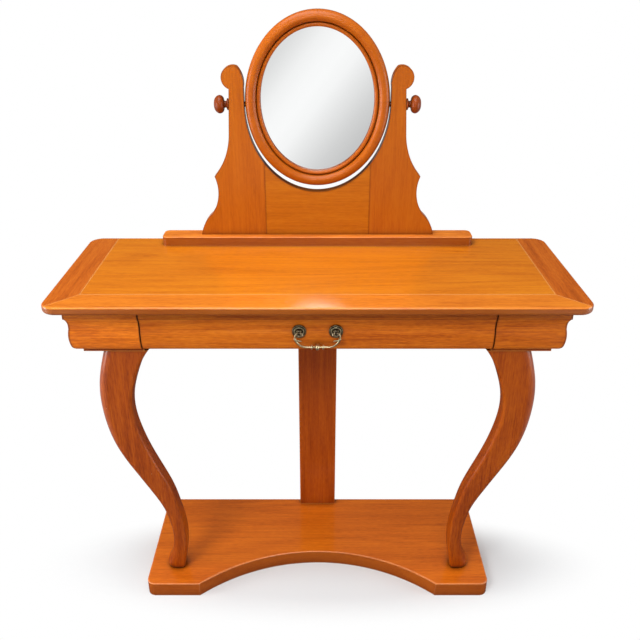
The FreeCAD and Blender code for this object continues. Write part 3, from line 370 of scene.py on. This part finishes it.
def timber(name, grain, tones, seed, coat=0.25, coat_rough=0.10, rough=0.38, gloss=0.15, contrast=1.0,
           chips=0.0, edge=("#e59a45", 0.5), corner=0.9, reach=30, rim=0.0):
    """Stained and lacquered timber: tones are its dark, middle and light colours. Shares from 0 to 1 are
    the change of tone in chips, in the painted highlight (a dark colour gives painted shade) on arrises
    (edge: its colour and share, or None), in the painted shade of inner corners (corner, felt out to
    reach mm) and in the painted shade on faces that do not look up (rim)."""
    material, tree = new_material(name)
    source = add(tree, "ShaderNodeTexCoord").outputs["Object"]
    turn = [math.radians(a) for a in GRAIN_TURN[grain]]
    place = add(tree, "ShaderNodeMapping", Vector=source, Rotation=turn).outputs[0]

    # growth rings, then the finer noises on top of them, as one tone about 0.5
    slow = stretched(tree, place, *RING_SIZE, seed, 1.5, 0.4)
    turns = add(tree, "ShaderNodeMath", {"operation": "MULTIPLY"},
                _0=slow, _1=RING_COUNT * 2 * math.pi)
    ring = add(tree, "ShaderNodeMath", {"operation": "SINE"}, _0=turns.outputs[0])
    total = add(tree, "ShaderNodeMath", {"operation": "MULTIPLY_ADD"}, _0=ring.outputs[0],
                _1=RING_SHARE * contrast, _2=0.5).outputs[0]
    noises = {}
    for kind, (along, across, step, detail, roughness, share) in GRAIN_NOISES.items():
        noises[kind] = stretched(tree, place, along, across, seed + step, detail, roughness)
        centred = add(tree, "ShaderNodeMath", {"operation": "SUBTRACT"}, _0=noises[kind], _1=0.5)
        total = add(tree, "ShaderNodeMath", {"operation": "MULTIPLY_ADD"}, _0=centred.outputs[0],
                    _1=share * contrast, _2=total).outputs[0]
    ramp = add(tree, "ShaderNodeValToRGB", Fac=total)
    stops = ramp.color_ramp.elements
    stops[0].position, stops[0].color = 0.18, linear(tones[0])
    stops[1].position, stops[1].color = 0.82, linear(tones[2])
    middle = stops.new(0.5)
    middle.color = linear(tones[1])
    colour = ramp.outputs[0]

    if chips:
        spots = stretched(tree, place, 9, 2.6, seed + 4, 1.0, 0.4)
        chip = add(tree, "ShaderNodeMapRange", Value=spots, From_Min=0.80, From_Max=0.83, To_Max=chips)
        worn = add(tree, "ShaderNodeMix", {"data_type": "RGBA"}, _0=chip.outputs[0],
                   _6=colour, _7=linear(CHIPPED))
        colour = worn.outputs[2]
    # painted light along the arrises: on most boards a pale highlight that also stands for wear, on some a
    # darker shade
    if edge:
        edge_colour, edge_share = edge
        depth = add(tree, "ShaderNodeAmbientOcclusion",
                    {"samples": SHADE_SAMPLES, "inside": True, "only_local": True},
                    Distance=ARRIS_DEPTH * MM)
        arris_paint_share = add(tree, "ShaderNodeMapRange", Value=depth.outputs["AO"],
                        From_Min=0.9, From_Max=0.6, To_Min=0.0, To_Max=edge_share)
        arris_painted = add(tree, "ShaderNodeMix", {"data_type": "RGBA"}, _0=arris_paint_share.outputs[0],
                    _6=colour, _7=linear(edge_colour))
        colour = arris_painted.outputs[2]
    # painted shade: the tone darkens where other surfaces, the floor too, come close, as in inner corners
    # and under the top
    closeness = add(tree, "ShaderNodeAmbientOcclusion", {"samples": SHADE_SAMPLES}, Distance=reach * MM)
    corner_shade_share = add(tree, "ShaderNodeMapRange", Value=closeness.outputs["AO"],
                    From_Min=0.82, From_Max=0.28, To_Min=0.0, To_Max=corner)
    corner_shaded = add(tree, "ShaderNodeMix", {"data_type": "RGBA"}, _0=corner_shade_share.outputs[0],
                   _6=colour, _7=linear(PAINTED_CORNER_SHADE))
    colour = corner_shaded.outputs[2]
    # painted shade: faces that turn away from the light above are darkened
    if rim:
        normal = add(tree, "ShaderNodeNewGeometry").outputs["Normal"]
        facing = add(tree, "ShaderNodeSeparateXYZ", Vector=normal)
        turned = add(tree, "ShaderNodeMapRange", Value=facing.outputs["Z"],
                     From_Min=0.65, From_Max=0.1, To_Min=0.0, To_Max=rim)
        side_shaded = add(tree, "ShaderNodeMix", {"data_type": "RGBA"}, _0=turned.outputs[0],
                     _6=colour, _7=linear(PAINTED_SIDE_SHADE))
        colour = side_shaded.outputs[2]

    sheen = add(tree, "ShaderNodeMapRange", Value=noises["fibre"], From_Min=0.3, From_Max=0.7,
                To_Min=rough - 0.04, To_Max=rough + 0.04)
    relief = add(tree, "ShaderNodeBump", Height=noises["fibre"], Strength=0.02, Distance=0.25 * MM)
    surface = add(tree, "ShaderNodeBsdfPrincipled", Base_Color=colour, Roughness=sheen.outputs[0],
                  Normal=relief.outputs[0])
    surface.inputs["IOR"].default_value = 1.5
    surface.inputs["Specular IOR Level"].default_value = gloss
    surface.inputs["Coat Weight"].default_value = coat
    surface.inputs["Coat Roughness"].default_value = coat_rough
    close_material(tree, surface.outputs[0])
    return material


print("grain directions:", list(GRAIN_TURN))

# %% [markdown]
# Each board is its own piece of timber, so each gets its own piece of the pattern and no grain runs on
# through a joint. The long-grain field of the top is the palest board, the borders and uprights are
# redder, the legs and the column the darkest. A hand-rubbed top shines most; the uprights of the mirror
# are nearly matt. The front edges of the plinth and of the top carry a pale painted highlight that also
# stands for wear, and the faces of the top's borders, the plinth and the mirror's base that do not look
# up are painted darker as shade. The left frieze board is a lit copy in a paler tone and the right
# upright a shaded copy in a darker one, painted as the light falls from the left.

# %% Tones of the boards
field_tones = ("#ae5706", "#cf730f", "#dc8514")
front_border_tones = ("#c06213", "#dc7c1e", "#e88c27")
side_border_tones = ("#9f490d", "#ba5b14", "#c96c1d")
frieze_tones = ("#a64a07", "#c5620b", "#d57412")
# a lit copy of the frieze tones: paler, as the light falls from the left
painted_lit_frieze_tones = ("#bc580c", "#dd7312", "#ef881b")
leg_tones = ("#823102", "#9d4202", "#ad5003")
column_tones = ("#823102", "#9c4102", "#ae4f04")
plinth_tones = ("#ab4b07", "#c8610e", "#d97113")
base_tones = ("#c2651d", "#e27f28", "#f29334")
upright_tones = ("#99490a", "#af590c", "#bb6612")
# a shaded copy of the upright tones: darker, as the light falls from the left
painted_shaded_upright_tones = ("#96480a", "#ab560c", "#b66412")
panel_tones = ("#9b4f0a", "#b1600c", "#bd6f13")
frame_tones = ("#8a3d03", "#ad5406", "#c06809")
knob_tones = ("#692603", "#863805", "#9b4707")

# painted shade along the arrises
shaded_arris = {"edge": ("#5c2406", 0.6)}
rubbed_top = {"coat": 0.8, "coat_rough": 0.16}
side_border = {"coat": 0.5, "contrast": 0.8, "edge": ("#e59a45", 0.25), "rim": 0.5}
# painted shade felt out 80 mm, which darkens the band under the overhang of the top, and a painted dark
# arris
moulding = {"corner": 1.0, "reach": 80, **shaded_arris}
upright = {"coat": 0.15, "contrast": 0.5, **shaded_arris}
oval_moulding = {"coat": 0.3, "coat_rough": 0.25, "contrast": 0.3, "corner": 0.6, "edge": None}
turned_knob = {"coat": 0.5, "coat_rough": 0.34, "gloss": 0.05, "contrast": 0.4, "corner": 1.0,
               "edge": None}
boards = {
    "top_panel": ("x", field_tones, {**rubbed_top, "contrast": 0.6, "edge": ("#ffd9a0", 0.25)}),
    "top_border_front": ("x", front_border_tones,
                         {**rubbed_top, "contrast": 0.7, "edge": ("#ffd9a0", 0.2), "rim": 0.75}),
    "top_border_left": ("y", side_border_tones, side_border),
    "top_border_right": ("y", side_border_tones, side_border),
    "frieze_front_left": ("x", painted_lit_frieze_tones, moulding),
    "frieze_front_right": ("x", frieze_tones, moulding),
    "frieze_side_left": ("y", frieze_tones, {}),
    "frieze_side_right": ("y", frieze_tones, {}),
    "drawer_front": ("x", frieze_tones, moulding),
    "end_board_left": ("y", leg_tones, {}),
    "end_board_right": ("y", leg_tones, {}),
    # painted highlight on the leg arrises, also standing for wear, stronger on the left leg as the light
    # falls from the left
    "leg_left": ("z", leg_tones,
                 {"coat": 0.5, "coat_rough": 0.22, "chips": 0.7, "edge": ("#e08a2c", 0.75)}),
    "leg_right": ("z", leg_tones,
                  {"coat": 0.3, "coat_rough": 0.22, "chips": 0.5, "edge": ("#d07a22", 0.6)}),
    "column": ("z", column_tones, {"contrast": 0.7, "corner": 0.5}),
    "plinth": ("x", plinth_tones, {"coat": 0.5, "contrast": 0.7, "edge": ("#ffd0a0", 0.8), "rim": 0.55}),
    "support_base": ("x", base_tones, {"coat": 0.5, "edge": ("#f0b070", 0.6), "corner": 0.15, "rim": 0.8}),
    "support_panel": ("x", panel_tones, {"coat": 0.15, "contrast": 0.6, **shaded_arris}),
    "support_upright_left": ("z", upright_tones, upright),
    "support_upright_right": ("z", painted_shaded_upright_tones, upright),
    "mirror_frame_upper_left": ("fall", frame_tones, oval_moulding),
    "mirror_frame_upper_right": ("rise", frame_tones, oval_moulding),
    "mirror_frame_lower_left": ("rise", frame_tones, oval_moulding),
    "mirror_frame_lower_right": ("fall", frame_tones, oval_moulding),
    "knob_left": ("x", knob_tones, turned_knob),
    "knob_right": ("x", knob_tones, turned_knob),
}
finish_of = {}
for seed, (node, (grain, tones, settings)) in enumerate(boards.items(), start=1):
    finish_of[node] = timber("lacquered_cherry_" + node, grain, tones, seed, **settings)
print("cherry boards:", len(finish_of))

# %% [markdown]
# ## Plain beech, brass, steel and the rest
# Inside, the table is made of plain beech without stain. Its screws are zinc-plated steel and its
# bushes bright brass. The pull is brass that was darkened in a bath and then rubbed: bright where
# fingers and the polishing mop reach, nearly black in the hollows.

# %% Beech and metals
beech = ("#c2935f", "#d6aa74", "#e2bc88")
# a pale painted highlight along the arrises, also standing for wear, and painted shade in the inner
# corners
bare = {"coat": 0.0, "rough": 0.6, "edge": ("#ecd6ab", 0.3), "corner": 0.4}
beech_across = timber("plain_beech_across_the_table", "x", beech, 40, **bare)
beech_deep = timber("plain_beech_front_to_back", "y", beech, 41, **bare)
thin_board = timber("thin_backboard", "z", ("#94704a", "#a88258", "#b8936a"), 44, **bare)

RIDGE_DEPTH = 1.6            # mm that rubbing reaches in from a ridge
TONE_STEP = 0.27             # from the dark to the bright tone in the cloud noise
DULLING = 0.12               # extra roughness of the dark patches


def metal(name, bright, dark, rough, spot, dark_share=0.35, rubbed=None):
    """A metal that is bright and dark in patches of spot mm, with rubbed ridges in another colour."""
    material, tree = new_material(name)
    place = add(tree, "ShaderNodeTexCoord").outputs["Object"]
    cloud = add(tree, "ShaderNodeTexNoise", Vector=place, Scale=1000 / spot, Detail=3.0)
    colours = add(tree, "ShaderNodeValToRGB", Fac=cloud.outputs[0])
    stops = colours.color_ramp.elements
    stops[0].position, stops[0].color = dark_share, linear(dark)
    stops[1].position, stops[1].color = dark_share + TONE_STEP, linear(bright)
    sheen = add(tree, "ShaderNodeMapRange", Value=cloud.outputs[0], From_Min=0.3, From_Max=0.7,
                To_Min=rough + DULLING, To_Max=rough)
    colour = colours.outputs[0]
    if rubbed:
        depth = add(tree, "ShaderNodeAmbientOcclusion",
                    {"samples": SHADE_SAMPLES, "inside": True, "only_local": True},
                    Distance=RIDGE_DEPTH * MM)
        ridge = add(tree, "ShaderNodeMapRange", Value=depth.outputs["AO"], From_Min=0.85, From_Max=0.35)
        polished = add(tree, "ShaderNodeMix", {"data_type": "RGBA"}, _0=ridge.outputs[0],
                       _6=colour, _7=linear(rubbed))
        colour = polished.outputs[2]
    surface = add(tree, "ShaderNodeBsdfPrincipled", Base_Color=colour, Roughness=sheen.outputs[0])
    surface.inputs["Metallic"].default_value = 1.0
    close_material(tree, surface.outputs[0])
    return material


zinc = metal("zinc_plated_steel", "#b9babc", "#9a9ca0", 0.32, 6.0)
bright_brass = metal("turned_brass", "#cfa75a", "#b8914a", 0.25, 6.0)
rubbed_brass = metal("rubbed_antique_brass", "#dccda6", "#b3a277", 0.27, 9.0, 0.25)
dark_brass = metal("dark_antique_brass", "#5a4e3a", "#3a3022", 0.24, 12.0, 0.40, "#d8ccb0")
print("metals:", zinc.name, bright_brass.name, rubbed_brass.name, dark_brass.name)

# %% [markdown]
# The rosettes are turned: a rim bead, a raised ring and a boss, with hollows between them. The dark bath
# stays in the hollows and is rubbed off the ridges, and the pale rings on the ridges are also painted
# highlights. Their colour is a ramp over the distance from the axis of the post, measured in shares of
# the rosette's radius.

# %% Rosette brass
ROSETTE_RADIUS, POST_SPACING, POST_HEIGHT = 14.5, 76.0, 719.5
ringed_brass, tree = new_material("antique_brass_rubbed_and_highlight_painted_rings")
split = add(tree, "ShaderNodeSeparateXYZ", Vector=add(tree, "ShaderNodeTexCoord").outputs["Object"])
beside = add(tree, "ShaderNodeMath", {"operation": "ABSOLUTE"}, _0=split.outputs["X"])
across = add(tree, "ShaderNodeMath", {"operation": "SUBTRACT"},
             _0=beside.outputs[0], _1=POST_SPACING / 2 * MM)
above = add(tree, "ShaderNodeMath", {"operation": "SUBTRACT"},
            _0=split.outputs["Z"], _1=POST_HEIGHT * MM)
from_axis = add(tree, "ShaderNodeCombineXYZ", X=across.outputs[0], Y=above.outputs[0])
radius = add(tree, "ShaderNodeVectorMath", {"operation": "LENGTH"}, _0=from_axis.outputs[0])
share = add(tree, "ShaderNodeMath", {"operation": "DIVIDE"},
            _0=radius.outputs["Value"], _1=ROSETTE_RADIUS * MM)
rings = add(tree, "ShaderNodeValToRGB", Fac=share.outputs[0])
ring_stops = [(0.30, "#6b5d43"), (0.44, "#1d1810"), (0.52, "#4a3f2c"), (0.62, "#cfc3a4"),
              (0.71, "#b3a684"), (0.79, "#120f0a"), (0.86, "#4a3f2c"), (0.93, "#a89a78"),
              (1.0, "#2b2419")]
stops = rings.color_ramp.elements
stops[0].position, stops[0].color = ring_stops[0][0], linear(ring_stops[0][1])
stops[1].position, stops[1].color = ring_stops[-1][0], linear(ring_stops[-1][1])
for position, colour in ring_stops[1:-1]:
    stops.new(position).color = linear(colour)
surface = add(tree, "ShaderNodeBsdfPrincipled", Base_Color=rings.outputs[0])
surface.inputs["Metallic"].default_value = 1.0
surface.inputs["Roughness"].default_value = 0.3
close_material(tree, surface.outputs[0])
print("rosette rings:", len(ring_stops))

# %% [markdown]
# Silvered glass gives back a clean reflection, a little greyer than what it sees. The washers at the
# pivots are red felt, matt and fuzzy.

# %% Mirror and felt
silvered, tree = new_material("silvered_mirror_glass")
surface = add(tree, "ShaderNodeBsdfPrincipled", Base_Color=linear("#f9fafa"))
surface.inputs["Metallic"].default_value = 1.0
surface.inputs["Roughness"].default_value = 0.02
close_material(tree, surface.outputs[0])

felt_fibre = 0.6             # mm
felt, tree = new_material("red_felt")
place = add(tree, "ShaderNodeTexCoord").outputs["Object"]
fuzz = add(tree, "ShaderNodeTexNoise", Vector=place, Scale=1000 / felt_fibre, Detail=2.0)
colours = add(tree, "ShaderNodeValToRGB", Fac=fuzz.outputs[0])
colours.color_ramp.elements[0].color = linear("#3a120c")
colours.color_ramp.elements[1].color = linear("#5e2016")
surface = add(tree, "ShaderNodeBsdfPrincipled", Base_Color=colours.outputs[0])
surface.inputs["Roughness"].default_value = 0.9
close_material(tree, surface.outputs[0])

by_slot = {
    "secondary_wood": beech_across, "dowel_wood": beech_across, "backboard": thin_board, "steel": zinc,
    "bush_brass": bright_brass, "pull_brass": dark_brass, "mirror": silvered, "washer_fabric": felt,
}
for node in body_of:
    if node.startswith(("drawer_side", "drawer_runner", "drawer_kicker", "drawer_cheek")):
        finish_of[node] = beech_deep
    elif node not in finish_of:
        finish_of[node] = by_slot[slot_of[node]]
finish_of["pull_bail"] = rubbed_brass
finish_of["pull_rosettes"] = ringed_brass
print("finishes:", len(finish_of))

# %% [markdown]
# ## Finishes on the solids
# A construction solid whose shape is already right only takes its finish.

# %% Finish on each solid
for node, solid in frame["nodes"].items():
    solid.data.materials.clear()
    solid.data.materials.append(finish_of[node])
print("finished solids:", len(frame["nodes"]))

# %% [markdown]
# ## Eased arrises
# No joiner leaves a sharp edge: each one is eased with a plane and sandpaper, and that narrow round
# catches the light. The construction solids have sharp edges where the easing is under a millimetre.
# A copy of each board is cleaned of the thin triangles that lie in one plane, gets a bevel on every
# edge that turns by more than thirty degrees, and takes the place of the solid. Weighted normals then
# keep the broad faces flat up to the small rounds beside them. The oval frame has no broad flat face
# and does without them.

# %% Ease a board
WELD_DISTANCE = 0.005        # mm between corners that are one and the same
FLAT_ANGLE, ARRIS_ANGLE = 0.3, 30


def eased(node, width, flat_faces):
    """A copy of a solid with its arrises eased by width mm, in the solid's place."""
    solid = frame["nodes"][node]
    mesh = solid.data.copy()
    mesh.name = node + "_eased"
    work = bmesh.new()
    work.from_mesh(mesh)
    bmesh.ops.remove_doubles(work, verts=work.verts, dist=WELD_DISTANCE * MM)
    bmesh.ops.dissolve_limit(work, angle_limit=math.radians(FLAT_ANGLE), verts=work.verts,
                             edges=work.edges)
    work.to_mesh(mesh)
    work.free()
    for polygon in mesh.polygons:
        polygon.use_smooth = True
    piece = bpy.data.objects.new(node + "_eased", mesh)
    piece.matrix_world = solid.matrix_world
    scene.collection.objects.link(piece)
    bevel = piece.modifiers.new("easing", "BEVEL")
    bevel.width = width * MM
    bevel.segments = 3
    bevel.limit_method = "ANGLE"
    bevel.angle_limit = math.radians(ARRIS_ANGLE)
    bevel.harden_normals = True
    bevel.use_clamp_overlap = True
    if flat_faces:
        flat = piece.modifiers.new("flat_faces", "WEIGHTED_NORMAL")
        flat.mode = "FACE_AREA"
        flat.weight = 100
        flat.keep_sharp = True
    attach(piece, body_of[node])
    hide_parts(node)


easings = {
    "top_panel": 0.3, "top_border_front": 0.3, "top_border_left": 0.3, "top_border_right": 0.3,
    "frieze_front_left": 0.5, "frieze_front_right": 0.5, "frieze_side_left": 0.5,
    "frieze_side_right": 0.5, "drawer_front": 0.7, "end_board_left": 0.8, "end_board_right": 0.8,
    "column": 0.8, "plinth": 0.8, "support_base": 0.4, "support_panel": 0.5,
    "support_upright_left": 0.9, "support_upright_right": 0.9,
    "mirror_frame_upper_left": 0.2, "mirror_frame_upper_right": 0.2,
    "mirror_frame_lower_left": 0.2, "mirror_frame_lower_right": 0.2,
}
for node, width in easings.items():
    eased(node, width, flat_faces=not node.startswith("mirror_frame"))
print("eased boards:", len(easings))
